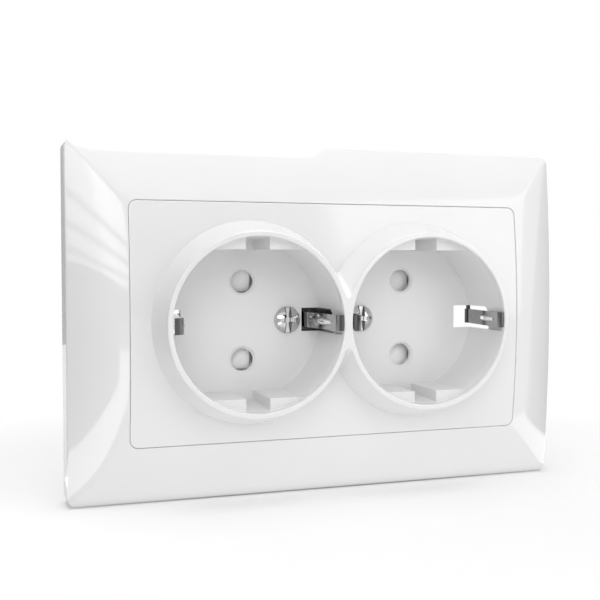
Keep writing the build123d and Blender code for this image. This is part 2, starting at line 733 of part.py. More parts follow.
# Backing springs: steel hoops that hold the leaves on the pins.
hoop_y = bus_y - hoop_up
inner_w = tulip_half_w + hoop_fit
inner_h = tulip_gap + sheet + hoop_fit
hoop_plan = Rectangle(2 * (inner_w + hoop_wire), 2 * (inner_h + hoop_wire))
hoop_plan -= Rectangle(2 * inner_w, 2 * inner_h)
hoops = []
for x in (-socket_x, socket_x):
    for z in (-pin_z, pin_z):
        hoops.append(prism(Pos(x, z) * hoop_plan, hoop_y, hoop_y - hoop_width))
export_step(Compound(children=hoops), "parts/backing_springs.step")

# Terminals: clamp blocks with their screws.


def clamp_block(x, z, front_y, back_y):
    clamp = block(x - clamp_half_w, x + clamp_half_w, front_y, back_y, z - clamp_half_h, z + clamp_half_h)
    wire_w = clamp_half_w - clamp_wall
    clamp -= block(x - wire_w, x + wire_w, front_y + clamp_top, back_y - clamp_wall, z - past, z + past)
    return clamp - bar(terminal_screw_r + thread_gap, x, z, front_y + clamp_top + sheet, front_y - past)


def clamp_screw(x, z, head_y, head, end_y):
    screw = bar(terminal_screw_r, x, z, end_y, head_y) + bar(terminal_head_r, x, z, head_y, head_y - head)
    half = small_slot_w / 2
    return screw - block(x - past, x + past, rim_y, head_y - head / 2, z - half, z + half)


clamps = []
screws = []
clamp_y = bus_y - clamp_high
for x, z in ((-terminal_x, pin_z), (terminal_x, -pin_z)):
    clamps.append(clamp_block(x, z, clamp_y, bus_y))
    screws.append(clamp_screw(x, z, clamp_y - terminal_lift, terminal_head, bus_y - terminal_end))
clamp_back_y = clamp_front_y + earth_clamp_high
clamps.append(clamp_block(0, earth_terminal_z, clamp_front_y, clamp_back_y))
screws.append(clamp_screw(0, earth_terminal_z, bracket_back_y, earth_head, clamp_back_y - earth_screw_end))
export_step(Compound(children=clamps), "parts/terminal_clamps.step")
export_step(Compound(children=screws), "parts/terminal_screws.step")

# Cover screws: hold the shutter carrier on the base housing.
screws = []
seat_y = carrier_front_y + cover_seat
for x, z in cover_spots:
    screw = bar(cover_screw_r, x, z, seat_y + cover_reach + 2 * cover_screw_r, seat_y)
    screw += bar(cover_head_r, x, z, seat_y, seat_y - cover_head)
    for wide, high in ((past, small_slot_w), (small_slot_w, past)):
        screw -= block(x - wide / 2, x + wide / 2, rim_y, seat_y - cover_head / 2, z - high / 2, z + high / 2)
    screws.append(screw)
export_step(Compound(children=screws), "parts/cover_screws.step")
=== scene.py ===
import math

import bmesh
import bpy
from mathutils import Matrix, Vector


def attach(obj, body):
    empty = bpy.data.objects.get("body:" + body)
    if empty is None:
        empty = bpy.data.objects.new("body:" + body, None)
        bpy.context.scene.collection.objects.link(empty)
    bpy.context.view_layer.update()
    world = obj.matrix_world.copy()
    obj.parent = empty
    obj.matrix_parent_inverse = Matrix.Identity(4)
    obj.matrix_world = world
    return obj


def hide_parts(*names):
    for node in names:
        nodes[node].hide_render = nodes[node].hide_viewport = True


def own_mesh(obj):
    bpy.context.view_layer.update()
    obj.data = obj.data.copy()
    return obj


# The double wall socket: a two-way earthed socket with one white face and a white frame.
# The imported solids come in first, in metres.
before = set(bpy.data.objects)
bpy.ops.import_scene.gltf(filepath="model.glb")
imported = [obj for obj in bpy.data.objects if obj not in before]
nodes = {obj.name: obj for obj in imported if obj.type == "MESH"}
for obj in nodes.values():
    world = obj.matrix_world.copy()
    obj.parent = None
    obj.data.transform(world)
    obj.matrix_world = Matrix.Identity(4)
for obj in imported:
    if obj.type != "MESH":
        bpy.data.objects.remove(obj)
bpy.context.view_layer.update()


# Base housing: the cup that sits in the wall box and holds the contacts.
# Grey glass-filled polyamide, injection moulded, with the fine sparked grain of its tool.
class Shade:
    """A socket of a material's nodes, so that shader maths is written as plain arithmetic."""

    def __init__(self, tree, socket=None):
        self.tree = tree
        self.socket = socket

    def add(self, kind, settings=None, inputs=None, out=0):
        node = self.tree.nodes.new(kind)
        for name, setting in (settings or {}).items():
            if name == "stops":
                ramp = node.color_ramp
                for place, tone in setting[2:]:
                    ramp.elements.new(place)
                for element, (place, tone) in zip(ramp.elements, setting):
                    element.position = place
                    element.color = (tone, tone, tone, 1.0)
            else:
                setattr(node, name, setting)
        for name, value in (inputs or {}).items():
            if isinstance(value, Shade):
                self.tree.links.new(value.socket, node.inputs[name])
            else:
                node.inputs[name].default_value = value
        return Shade(self.tree, node.outputs[out])

    def sum(self, operation, first, second):
        return self.add("ShaderNodeMath", {"operation": operation}, {0: first, 1: second})

    def __add__(self, other):
        return self.sum("ADD", self, other)

    def __radd__(self, other):
        return self.sum("ADD", other, self)

    def __sub__(self, other):
        return self.sum("SUBTRACT", self, other)

    def __rsub__(self, other):
        return self.sum("SUBTRACT", other, self)

    def __mul__(self, other):
        return self.sum("MULTIPLY", self, other)

    def __rmul__(self, other):
        return self.sum("MULTIPLY", other, self)

    def noise(self, scale, detail=3.0, stretch=(1.0, 1.0, 1.0)):
        place = self.add("ShaderNodeTexCoord", out="Object")
        turned = self.add("ShaderNodeMapping", inputs={"Vector": place, "Scale": stretch})
        return self.add("ShaderNodeTexNoise", None, {"Vector": turned, "Scale": scale, "Detail": detail})

    def along(self, axis):
        place = self.add("ShaderNodeTexCoord", out="Object")
        return self.add("ShaderNodeSeparateXYZ", None, {0: place}, out=axis)

    def span(self, start, end):
        return self.add("ShaderNodeMapRange", None, {"Value": self, "From Min": start, "From Max": end})

    def size(self):
        return self.add("ShaderNodeMath", {"operation": "ABSOLUTE"}, {0: self})

    def cells(self, scale):
        place = self.add("ShaderNodeTexCoord", out="Object")
        return self.add("ShaderNodeTexVoronoi", None, {"Vector": place, "Scale": scale}, out="Color")

    def ramp(self, low, high, low_tone=0.0, high_tone=1.0):
        stops = ((low, low_tone), (high, high_tone))
        return self.add("ShaderNodeValToRGB", {"stops": stops}, {"Fac": self})

    def blend(self, first, second):
        return self.add("ShaderNodeMix", {"data_type": "RGBA"}, {0: self, 6: first, 7: second}, out=2)

    def bump(self, strength, distance):
        return self.add("ShaderNodeBump", None, {"Height": self, "Strength": strength, "Distance": distance},
                        out="Normal")


def new_finish(name, constants):
    finish = bpy.data.materials.new(name)
    finish.use_nodes = True
    shader = finish.node_tree.nodes["Principled BSDF"]
    for socket, value in constants.items():
        shader.inputs[socket].default_value = value
    return finish, Shade(finish.node_tree)


def feed(finish, links):
    shader = finish.node_tree.nodes["Principled BSDF"]
    for socket, value in links.items():
        finish.node_tree.links.new(value.socket, shader.inputs[socket])
    return finish


def grey(tone):
    return (tone, tone, tone, 1.0)


def moulded_plastic(name, dark, light, rough, grain_depth):
    finish, shade = new_finish(name, {"IOR": 1.5})
    flow = shade.noise(90.0, 4.0)
    grain = shade.noise(5200.0, 2.0)
    colour = (0.7 * flow + 0.3 * grain).ramp(0.3, 0.7).blend(dark, light)
    roughness = rough + 0.12 * (grain - 0.5) + 0.08 * (flow - 0.5)
    normal = grain.bump(0.5, grain_depth)
    return feed(finish, {"Base Color": colour, "Roughness": roughness, "Normal": normal})


def paint(finish, *names):
    for name in names:
        for place in nodes[name].material_slots:
            place.material = finish
        if not nodes[name].material_slots:
            nodes[name].data.materials.append(finish)


base_dark = (0.34, 0.345, 0.35, 1.0)
base_light = (0.41, 0.415, 0.42, 1.0)
base_grey = moulded_plastic("base grey polyamide", base_dark, base_light, 0.48, 0.00003)
paint(base_grey, "base_housing")

# Busbars and terminal clamps: rolled brass strip, cut and bent, with the lines of rolling along it.
# The clamp blocks are sawn from brass bar and carry the wires.
brass, shade = new_finish("rolled brass", {"Metallic": 1.0})
rolling = shade.noise(1500.0, 3.0, (0.06, 1.0, 1.0))
tarnish = shade.noise(260.0, 5.0)
warm = tarnish.ramp(0.35, 0.7).blend((0.74, 0.52, 0.22, 1.0), (0.58, 0.37, 0.14, 1.0))
paint(feed(brass, {
    "Base Color": warm,
    "Roughness": 0.2 + 0.14 * rolling + 0.16 * tarnish.ramp(0.4, 0.75),
    "Normal": rolling.bump(0.3, 0.00001),
}), "live_busbar", "neutral_busbar", "terminal_clamps")

# Backing springs: hoops of hardened steel strip pushed over the brass leaves.
# The steel is left blue-grey from its tempering oil.
spring_steel, shade = new_finish("tempered spring steel", {"Metallic": 1.0})
temper = shade.noise(420.0, 4.0)
drawn = shade.noise(2600.0, 2.0, (1.0, 1.0, 0.15))
straw = temper.ramp(0.4, 0.72).blend((0.36, 0.37, 0.39, 1.0), (0.44, 0.42, 0.38, 1.0))
paint(feed(spring_steel, {
    "Base Color": straw,
    "Roughness": 0.24 + 0.2 * drawn,
    "Normal": drawn.bump(0.25, 0.00001),
}), "backing_springs")

# Terminal screws: short slotted screws of zinc plated steel that press the clamps on the wires.
# The plating, which the other steel pieces share, shows fine crystals, a faint cloud and small rubs.
zinc_steel, shade = new_finish("zinc plated steel", {"Metallic": 1.0})
crystal = shade.cells(900.0)
cloud = shade.noise(130.0, 5.0)
rubs = shade.noise(1900.0, 3.0, (0.12, 1.0, 1.0))
patch = (0.55 * crystal + 0.45 * cloud).ramp(0.25, 0.75)
feed(zinc_steel, {
    "Base Color": patch.blend((0.5, 0.51, 0.52, 1.0), (0.66, 0.67, 0.68, 1.0)),
    "Roughness": 0.26 + 0.14 * crystal + 0.16 * rubs.ramp(0.45, 0.75),
    "Normal": (0.5 * crystal + 0.5 * rubs).bump(0.3, 0.00001),
})
paint(zinc_steel, "terminal_screws")

# Shutter carrier: the cover of the base, with the runs of the two shutters.
# It is the same grey polyamide as the base and is held by four cross-slotted screws.
paint(base_grey, "shutter_carrier")
paint(zinc_steel, "cover_screws")

# Mounting strap: a pressed steel plate that lies on the wall and carries everything.
# Four rivets hold the carrier, and two holes take the screws of the wall box.
paint(zinc_steel, "mounting_strap", "strap_rivets")

# Claws: steel strips that swing out and grip the wall box.
# They turn on their trunnions in the strap when the screws press on them.
paint(zinc_steel, "upper_claw", "lower_claw")


# Claw screws: slotted steel screws with a fine rolled thread, one for each claw.
# The head is kept from the turned blank, and the shank gets its thread.
MM = 0.001
claw_z = 23.0 * MM
thread_crest = 1.5 * MM
thread_root = 1.2 * MM
thread_pitch = 0.5 * MM
thread_steps = 20
head_back_y = -7.4 * MM
head_gap = 0.01 * MM
screw_end_y = 10.0 * MM
tip_length = 0.6 * MM
tip_taper = 0.6
merge_reach = 0.002 * MM
cut_reach = 0.0001 * MM
rim_reach = 0.01 * MM


def piece_from(bm, name, finish, body, sharp=0.6):
    for face in bm.faces:
        face.smooth = True
    for edge in bm.edges:
        edge.smooth = edge.calc_face_angle(0.0) < sharp
    mesh = bpy.data.meshes.new(name)
    bm.to_mesh(mesh)
    bm.free()
    mesh.materials.append(finish)
    piece = bpy.data.objects.new(name, mesh)
    bpy.context.scene.collection.objects.link(piece)
    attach(piece, body)
    return piece


def solid_copy(name):
    bm = bmesh.new()
    bm.from_mesh(nodes[name].data)
    bmesh.ops.remove_doubles(bm, verts=bm.verts[:], dist=merge_reach)
    return bm


def cut_off(bm, place, way):
    geom = bm.verts[:] + bm.edges[:] + bm.faces[:]
    bmesh.ops.bisect_plane(bm, geom=geom, dist=cut_reach, plane_co=place, plane_no=way, clear_outer=True)


def join(bm, other):
    joined = bpy.data.meshes.new("joined")
    other.to_mesh(joined)
    other.free()
    bm.from_mesh(joined)
    bpy.data.meshes.remove(joined)


def threaded_shank(bm, z):
    ridge = ((0.0, thread_root), (0.12, thread_root), (0.44, thread_crest), (0.56, thread_crest),
             (0.88, thread_root))
    start_y = head_back_y - 2 * thread_pitch
    points = [bm.verts.new((0.0, start_y + share * thread_pitch, z + high)) for share, high in ridge]
    points.append(bm.verts.new((0.0, start_y + thread_pitch, z + thread_root)))
    for first, second in zip(points, points[1:]):
        bm.edges.new((first, second))
    turns = int((screw_end_y - start_y) / thread_pitch) + 3
    rise = Vector((0.0, thread_pitch / thread_steps, 0.0))
    bmesh.ops.spin(bm, geom=bm.verts[:] + bm.edges[:], cent=(0.0, 0.0, z), axis=(0.0, 1.0, 0.0), dvec=rise,
                   angle=math.tau * turns, steps=thread_steps * turns, use_merge=False)
    bmesh.ops.remove_doubles(bm, verts=bm.verts[:], dist=merge_reach)
    for level, side in ((head_back_y, -1.0), (screw_end_y - tip_length, 1.0)):
        cut_off(bm, (0.0, level, z), (0.0, side, 0.0))
        rim = [edge for edge in bm.edges if edge.is_boundary and abs(edge.verts[0].co.y - level) < rim_reach]
        cap = bmesh.ops.edgeloop_fill(bm, edges=rim)["faces"]
        if side > 0:
            grown = bmesh.ops.extrude_face_region(bm, geom=cap)["geom"]
            end = [item for item in grown if isinstance(item, bmesh.types.BMVert)]
            bmesh.ops.translate(bm, verts=end, vec=(0.0, tip_length, 0.0))
            bmesh.ops.scale(bm, verts=end, vec=(tip_taper, 1.0, tip_taper),
                            space=Matrix.Translation((0.0, 0.0, -z)))
            bmesh.ops.delete(bm, geom=cap, context="FACES_ONLY")
    bmesh.ops.recalc_face_normals(bm, faces=bm.faces[:])


for side, name in ((1, "upper_claw_screw"), (-1, "lower_claw_screw")):
    shank = bmesh.new()
    threaded_shank(shank, side * claw_z)
    head = solid_copy(name)
    cut_off(head, (0.0, head_back_y - head_gap, 0.0), (0.0, 1.0, 0.0))
    bmesh.ops.holes_fill(head, edges=head.edges[:])
    join(shank, head)
    screw = piece_from(shank, name + "_threaded", zinc_steel, name)
    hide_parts(name)

# Shutters: white polyamide slides that close the pin holes until two pins push them aside.
# Ramps at the holes turn the push of the pins into the slide's travel towards the middle.
shutter_white = moulded_plastic("shutter white polyamide", grey(0.86), grey(0.9), 0.35, 0.00002)
paint(shutter_white, "left_shutter", "right_shutter")

# Shutter springs: coils of thin music wire between the slide's lug and a stop in the carrier.
# Each has one closed turn at both ends and is built at its rest length, though on the socket it shortens by
# the slide's travel.
coil_r = 0.95 * MM
coil_wire_r = 0.17 * MM
coil_outer = -17.78 * MM
coil_inner = -5.22 * MM
coil_y = -1.9 * MM
coil_z = -5.6 * MM
closed_pitch = 0.4 * MM
open_turns = 6
coil_steps = 28


def coil(bm):
    ring = bmesh.ops.create_circle(bm, cap_ends=True, segments=10, radius=coil_wire_r)["verts"]
    bmesh.ops.rotate(bm, verts=ring, cent=(0.0, 0.0, 0.0), matrix=Matrix.Rotation(math.pi / 2, 3, "X"))
    bmesh.ops.translate(bm, verts=ring, vec=(coil_r, 0.0, coil_outer))
    open_pitch = (coil_inner - coil_outer - 2 * closed_pitch) / open_turns
    last = bm.verts[:] + bm.edges[:] + bm.faces[:]
    for turns, pitch in ((1, closed_pitch), (open_turns, open_pitch), (1, closed_pitch)):
        rise = Vector((0.0, 0.0, pitch / coil_steps))
        made = bmesh.ops.spin(bm, geom=last, cent=(0.0, 0.0, 0.0), axis=(0.0, 0.0, 1.0), dvec=rise,
                              angle=math.tau * turns, steps=coil_steps * turns, use_merge=False)
        last = made["geom_last"]
    bmesh.ops.remove_doubles(bm, verts=bm.verts[:], dist=merge_reach)
    inner = [face for face in bm.faces if len(face.verts) > 4 and not any(e.is_boundary for e in face.edges)
             and all(len(e.link_faces) > 2 for e in face.edges)]
    bmesh.ops.delete(bm, geom=inner, context="FACES_ONLY")
    bmesh.ops.recalc_face_normals(bm, faces=bm.faces[:])


for side, name in ((1, "left"), (-1, "right")):
    bm = bmesh.new()
    coil(bm)
    bmesh.ops.rotate(bm, verts=bm.verts[:], cent=(0.0, 0.0, 0.0), matrix=Matrix.Rotation(math.pi / 2, 3, "Y"))
    bmesh.ops.translate(bm, verts=bm.verts[:], vec=(0.0, coil_y, coil_z))
    if side < 0:
        bmesh.ops.rotate(bm, verts=bm.verts[:], cent=(0.0, 0.0, 0.0), matrix=Matrix.Rotation(math.pi, 3, "Y"))
    spring = piece_from(bm, name + "_shutter_coil", spring_steel, "fixed")
    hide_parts(name + "_shutter_spring")
    name + "_shutter_slide"
    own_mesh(spring)

# Earth brackets and bridge: nickel plated spring bronze, stamped and bent, with two bent legs in each well.
# Rivets hold the bridge on both brackets. The plating has a slight orange peel and thin rubs.
# Painted shade darkens the legs' tips and all the nickel from the feet back, and a painted highlight lies as
# a bright bar along the crest of each dimple.
well_x = 21.0
plate_r = 14.6
leg_sheet = 0.8
leg_half_w = 1.85
leg_front_y = -4.3
leg_back_y = leg_front_y + leg_sheet
bow_y = -22.4
tip_y = -23.6
foot_bend = 1.2
bow_bend = 0.7
bend_steps = 6
dimple_y = -16.6
dimple_high = 0.55
dimple_half_length = 4.4
dimple_half_w = 0.8
arm_low = 3.3
arm_high = 5.4
arm_lap = 1.0
# Where the painted shade on the tips and feet and the painted highlight on the dimples begin and end, in
# millimetres.
tip_shade = (-23.4, -22.8)
foot_shade = (-4.4, -5.4)
highlight_sides = (0.5, 0.3)
highlight_front = (-20.6, -20.2)
highlight_back = (-13.6, -14.0)
# The colours of the painted shade and of the painted highlight.
painted_shade_nickel = grey(0.12)
painted_highlight_nickel = grey(0.97)


# A nickel finish. Its last argument paints shade and highlights into the base colour.
def nickel_plate(name, dark, light, rough, painted_light):
    finish, shade = new_finish(name, {"Metallic": 1.0})
    peel = shade.noise(1400.0, 2.0)
    rubbed = shade.noise(2400.0, 3.0, (1.0, 0.08, 1.0))
    plated = peel.ramp(0.3, 0.7).blend(dark, light)
    return feed(finish, {
        "Base Color": painted_light(shade, plated),
        "Roughness": rough + 0.08 * rubbed.ramp(0.4, 0.8) + 0.04 * peel,
        "Normal": (0.6 * peel + 0.4 * rubbed).bump(0.2, 0.00001),
    })


# Painted shade darkens the tips and everything behind the feet, and a painted highlight brightens a bar along
# each dimple's crest.
def painted_shade_and_highlight(shade, plated):
    level = shade.along("Y") * (1 / MM)
    from_middle = shade.along("Z").size() * (1 / MM)
    leg = level.span(*tip_shade) * level.span(*foot_shade)
    painted_highlight = from_middle.span(*highlight_sides) * level.span(*highlight_front) * level.span(*highlight_back)
    return leg.blend(painted_shade_nickel, painted_highlight.blend(plated, painted_highlight_nickel))


clip_nickel = nickel_plate("grey nickel plate", grey(0.4), grey(0.48), 0.08, painted_shade_and_highlight)
paint(clip_nickel, "earth_bridge", "earth_rivets")


def clip_leg(middle, side, root_r, foot_r, bow_r, tip_r):
    leg = bmesh.new()
    outline = (
        (root_r, leg_back_y), (foot_r + leg_sheet, leg_back_y), (bow_r + leg_sheet, bow_y),
        (tip_r + leg_sheet, tip_y), (tip_r, tip_y), (bow_r, bow_y), (foot_r, leg_front_y),
        (root_r, leg_front_y),
    )
    corners = [leg.verts.new((middle + side * r, y, -leg_half_w)) for r, y in outline]
    leg.faces.new(corners)
    for number, bend in ((1, foot_bend + leg_sheet), (6, foot_bend), (2, bow_bend), (5, bow_bend)):
        bmesh.ops.bevel(leg, geom=[corners[number]], offset=bend, affect="VERTICES", segments=bend_steps,
                        profile=0.5, material=-1)
    grown = bmesh.ops.extrude_face_region(leg, geom=leg.faces[:])["geom"]
    far_side = [item for item in grown if isinstance(item, bmesh.types.BMVert)]
    bmesh.ops.translate(leg, verts=far_side, vec=(0.0, 0.0, 2 * leg_half_w))
    lean = (foot_r - bow_r) / (leg_front_y - bow_y)
    face_r = bow_r + lean * (dimple_y - bow_y)
    dimple = bmesh.ops.create_uvsphere(leg, u_segments=24, v_segments=16, radius=1.0)["verts"]
    bmesh.ops.scale(leg, verts=dimple, vec=(dimple_high, dimple_half_length, dimple_half_w))
    bmesh.ops.rotate(leg, verts=dimple, cent=(0.0, 0.0, 0.0),
                     matrix=Matrix.Rotation(-side * math.atan(lean), 3, "Z"))
    bmesh.ops.translate(leg, verts=dimple, vec=(middle + side * face_r, dimple_y, 0.0))
    return leg


def bracket_block(bm, low, high):
    corners = bmesh.ops.create_cube(bm, size=1.0)["verts"]
    bmesh.ops.scale(bm, verts=corners, vec=[far - near for near, far in zip(low, high)])
    bmesh.ops.translate(bm, verts=corners, vec=[(near + far) / 2 for near, far in zip(low, high)])


# Three legs rise from their plate through the slot, and the outermost right one hangs on an arm above it.
# A leg's numbers are how far from the well's middle its root, foot, bow and tip are.
left_leg = (14.0, 15.7, 17.2, 18.8)
right_leg = (14.0, 15.7, 18.3, 19.3)
hung_leg = (20.0, 20.4, 18.6, 19.3)
for name, middle, legs in (
    ("left_earth_bracket", -well_x, ((-1, left_leg), (1, right_leg))),
    ("right_earth_bracket", well_x, ((-1, left_leg), (1, hung_leg))),
):
    bm = solid_copy(name)
    for side in (-1, 1):
        cut_off(bm, ((middle + side * plate_r) * MM, 0.0, 0.0), (side, 0.0, 0.0))
        bmesh.ops.holes_fill(bm, edges=[edge for edge in bm.edges if edge.is_boundary])
    for side, reaches in legs:
        leg = clip_leg(middle, side, *reaches)
        if reaches is hung_leg:
            foot_x = middle + reaches[1]
            bracket_block(leg, (foot_x, leg_front_y, 0.0), (foot_x + leg_sheet, leg_back_y, arm_high))
            bracket_block(leg, (middle + plate_r - arm_lap, leg_front_y, arm_low),
                          (foot_x + leg_sheet, leg_back_y, arm_high))
        bmesh.ops.scale(leg, verts=leg.verts[:], vec=(MM, MM, MM))
        join(bm, leg)
    bmesh.ops.recalc_face_normals(bm, faces=bm.faces[:])
    bracket = piece_from(bm, name + "_bent", clip_nickel, "fixed")
    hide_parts(name)

# Socket face: one moulding of white urea with two wells, two joined collars and the bowed panel.
# The tool is polished, so the skin is glossy, with a trace of orange peel and a faint cloud in the resin.
# The wells keep the fine grain of spark erosion, so they are duller inside.
well_reach = 20.3 * MM
grain_start = -22.6 * MM
grain_full = -21.8 * MM
grain_rough = 0.26
skin_strength = 0.06
skin_depth = 0.02 * MM


def gloss_skin(shade):
    resin = shade.noise(45.0, 4.0)
    fine = shade.noise(700.0, 2.0)
    colour = resin.ramp(0.3, 0.7).blend(grey(0.81), grey(0.83))
    return colour, 0.045 + 0.03 * resin + 0.02 * fine, 0.5 * fine + 0.5 * resin


face_white, shade = new_finish("white urea with grained wells", {"IOR": 1.5})
gloss_colour, gloss_rough, gloss_peel = gloss_skin(shade)
sparks = shade.noise(6000.0, 2.0)
spark_colour = sparks.ramp(0.3, 0.7).blend(grey(0.8), grey(0.83))
from_well = shade.along("X").size() - well_x * MM
up_well = shade.along("Z")
well_square = from_well * from_well + up_well * up_well
well_round = shade.add("ShaderNodeMath", {"operation": "SQRT"}, {0: well_square})
inside = shade.add("ShaderNodeMath", {"operation": "LESS_THAN"}, {0: well_round, 1: well_reach})
grained = inside * shade.along("Y").span(grain_start, grain_full)
paint(feed(face_white, {
    "Base Color": grained.blend(gloss_colour, spark_colour),
    "Roughness": gloss_rough + grain_rough * grained,
    "Normal": ((1 - grained) * gloss_peel + 1.5 * grained * sparks).bump(skin_strength, skin_depth),
}), "socket_face")

# Face screws: bright domed heads with a slot and a cross, which hold the face to the earth brackets.
# They are turned, polished and plated, so they are brighter than the brackets, with painted shade as dark
# lines along the walls of the slot.
screw_x = 9.7 * MM
slot_wall = 0.66 * MM
wall_dark = 0.06 * MM
wall_bright = 0.2 * MM


# Painted shade: the base colour goes dark along both walls of the slot.
def painted_slot_shade(shade, plated):
    from_slot = (shade.along("X").size() - screw_x).size()
    from_wall = (from_slot - slot_wall).size()
    return from_wall.span(wall_dark, wall_bright).blend(painted_shade_nickel, plated)


screw_nickel = nickel_plate("bright nickel plate", grey(0.6), grey(0.66), 0.06, painted_slot_shade)
paint(screw_nickel, "face_screws")

# Outer frame: the white gloss surround, moulded in one with bowed pillow bars mitred at the corners.
# The panel's skirt presses its ledge on to the wall, and it is hollow behind.
window_w = 49.33
window_h = 28.28
edge_w = 62.75
edge_h = 42.15
inner_y = -16.1
outer_y = -10.2
panel_h = 28.2
inner_bow = 2.0 / panel_h ** 2
outer_bow = 2.25 / edge_h ** 2
pillow_flat = 0.4
pillow_round = 0.6
mitre_soft = 0.3
corner_r = 2.0
mitre_r = 0.5
mitre_from = 0.1
arc_steps = 10
long_steps = 44
short_steps = 30
corners = ((1, 1), (-1, 1), (-1, -1), (1, -1))


def bar_level(share, z):
    on_bar = min(max(share, 0.0), 1.0)
    pillow = pillow_flat * share
    if share > 0:
        pillow += pillow_round * share * share
    bow = (1 - on_bar) * inner_bow + on_bar * outer_bow
    return inner_y + (outer_y - inner_y) * pillow + bow * z * z


def front_level(x, z):
    short_bar = bar_level((abs(x) - window_w) / (edge_w - window_w), z)
    long_bar = bar_level((abs(z) - window_h) / (edge_h - window_h), z)
    overlap = max(mitre_soft - abs(short_bar - long_bar), 0.0) / mitre_soft
    return max(short_bar, long_bar) + overlap * overlap * mitre_soft / 4


# Spots round a rounded rectangle: the share of the straight sides, and the way that the corner points.
spots = []
for quarter, (corner_x, corner_z) in enumerate(corners):
    for step in range(arc_steps):
        angle = (quarter + step / arc_steps) * math.pi / 2
        spots.append((corner_x, corner_z, math.cos(angle), math.sin(angle)))
    next_x, next_z = corners[(quarter + 1) % 4]
    side_angle = (quarter + 1) * math.pi / 2
    side_steps = short_steps if quarter % 2 else long_steps
    for step in range(side_steps):
        share = step / side_steps
        spot_x = corner_x + (next_x - corner_x) * share
        spot_z = corner_z + (next_z - corner_z) * share
        spots.append((spot_x, spot_z, math.cos(side_angle), math.sin(side_angle)))
spots.append(spots[0])

# Stations across the section: half width, half height, corner radius, level, and how far an edge falls back.
# No level means the front skin, which starts and ends in a rounded edge.
edge_round = 0.32
window_round = 0.14
groove_lean = 0.07
groove_deep = 0.18
ledge_front_y = -10.5
ledge_back_y = -8.5
hollow_r = 1.5
edge_slope = (pillow_flat + 2 * pillow_round) * (outer_y - inner_y) / (edge_w - window_w)
edge_lean = 1.0 / math.hypot(1.0, edge_slope)
round_shares = (0.0, 0.2, 0.4, 0.6, 0.8, 1.0)
front_shares = (0.968, 0.94, 0.88, 0.8, 0.72, 0.64, 0.56, 0.48, 0.4, 0.32, 0.24, 0.16, 0.09, 0.04, 0.02)
stations = [
    (63.0, 42.4, corner_r, 0.0, 0.0), (62.94, 42.34, corner_r, -2.5, 0.0),
    (62.87, 42.27, corner_r, -5.0, 0.0),
]
for share in round_shares:
    inset = edge_lean * edge_round * share ** 2
    stations.append((edge_w - inset, edge_h - inset, corner_r, None, edge_round * (1 - share) ** 2))
for share in front_shares:
    from_edge = min(share, 1 - share) / mitre_from
    radius = corner_r - (corner_r - mitre_r) * min(from_edge, 1.0)
    half_w = window_w + share * (edge_w - window_w)
    half_h = window_h + share * (edge_h - window_h)
    stations.append((half_w, half_h, radius, None, 0.0))
for share in round_shares:
    inset = window_round * (1 - share) ** 2
    stations.append((window_w + inset, window_h + inset, corner_r, None, window_round * share ** 2))
stations.append((window_w - groove_lean, window_h - groove_lean, corner_r, None, groove_deep))
stations.append((window_w, window_h, corner_r, ledge_front_y, 0.0))
for half_w, half_h, level in (
    (46.83, 25.78, ledge_front_y), (46.83, 25.78, ledge_back_y), (51.33, 30.28, ledge_back_y),
    (51.33, 30.28, -11.5), (53.15, 32.55, -11.5), (53.15, 32.55, -8.0), (57.35, 36.75, -8.0),
    (57.35, 36.75, -5.6), (60.75, 40.15, -5.6), (60.75, 40.15, 0.0),
):
    stations.append((half_w, half_h, hollow_r, level, 0.0))
stations.append(stations[0])

bm = bmesh.new()
bmesh.ops.create_grid(bm, x_segments=len(spots) - 1, y_segments=len(stations) - 1, size=1.0)
for vert in bm.verts:
    spot_x, spot_z, way_x, way_z = spots[round((vert.co.x + 1) / 2 * (len(spots) - 1))]
    half_w, half_h, radius, level, fall = stations[round((vert.co.y + 1) / 2 * (len(stations) - 1))]
    x = spot_x * (half_w - radius) + radius * way_x
    z = spot_z * (half_h - radius) + radius * way_z
    y = front_level(x, z) + fall if level is None else level
    vert.co = Vector((x, y, z)) * MM
bmesh.ops.remove_doubles(bm, verts=bm.verts[:], dist=merge_reach)
bmesh.ops.recalc_face_normals(bm, faces=bm.faces[:])
white_gloss, shade = new_finish("white gloss urea", {"IOR": 1.5})
gloss_colour, gloss_rough, gloss_peel = gloss_skin(shade)
feed(white_gloss, {
    "Base Color": gloss_colour,
    "Roughness": gloss_rough,
    "Normal": gloss_peel.bump(skin_strength, skin_depth),
})
surround = piece_from(bm, "frame_surround", white_gloss, "fixed", sharp=0.5)
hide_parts("outer_frame")

# Stage: a white table that keeps the object's shadow and runs out into plain white.
# The socket stands on the lower edge of its frame, as a product does on a photographer's table.
floor_z = -42.4 * MM
table_reach = 2.5
shadow_reach = 0.05
white_from = 0.15
bounce_level = 0.95
foot_level = 0.1 * bounce_level
foot_y = -4.0 * MM
foot_dark = 3.5 * MM
foot_clear = 5.5 * MM


def seen_rays(shade):
    camera_ray = shade.add("ShaderNodeLightPath", out="Is Camera Ray")
    glossy_ray = shade.add("ShaderNodeLightPath", out="Is Glossy Ray")
    clear_ray = shade.add("ShaderNodeLightPath", out="Is Transmission Ray")
    return camera_ray + glossy_ray + clear_ray


def stage_piece(bm, name, finish):
    mesh = bpy.data.meshes.new(name)
    bm.to_mesh(mesh)
    bm.free()
    mesh.materials.append(finish)
    piece = bpy.data.objects.new(name, mesh)
    bpy.context.scene.collection.objects.link(piece)
    return piece


table_white, shade = new_finish("white table", {
    "Roughness": 0.6, "Specular IOR Level": 0.0, "Emission Color": grey(1.0), "Emission Strength": 0.1,
})
paper = shade.noise(220.0, 3.0)
feed(table_white, {"Base Color": paper.blend(grey(0.86), grey(0.88))})

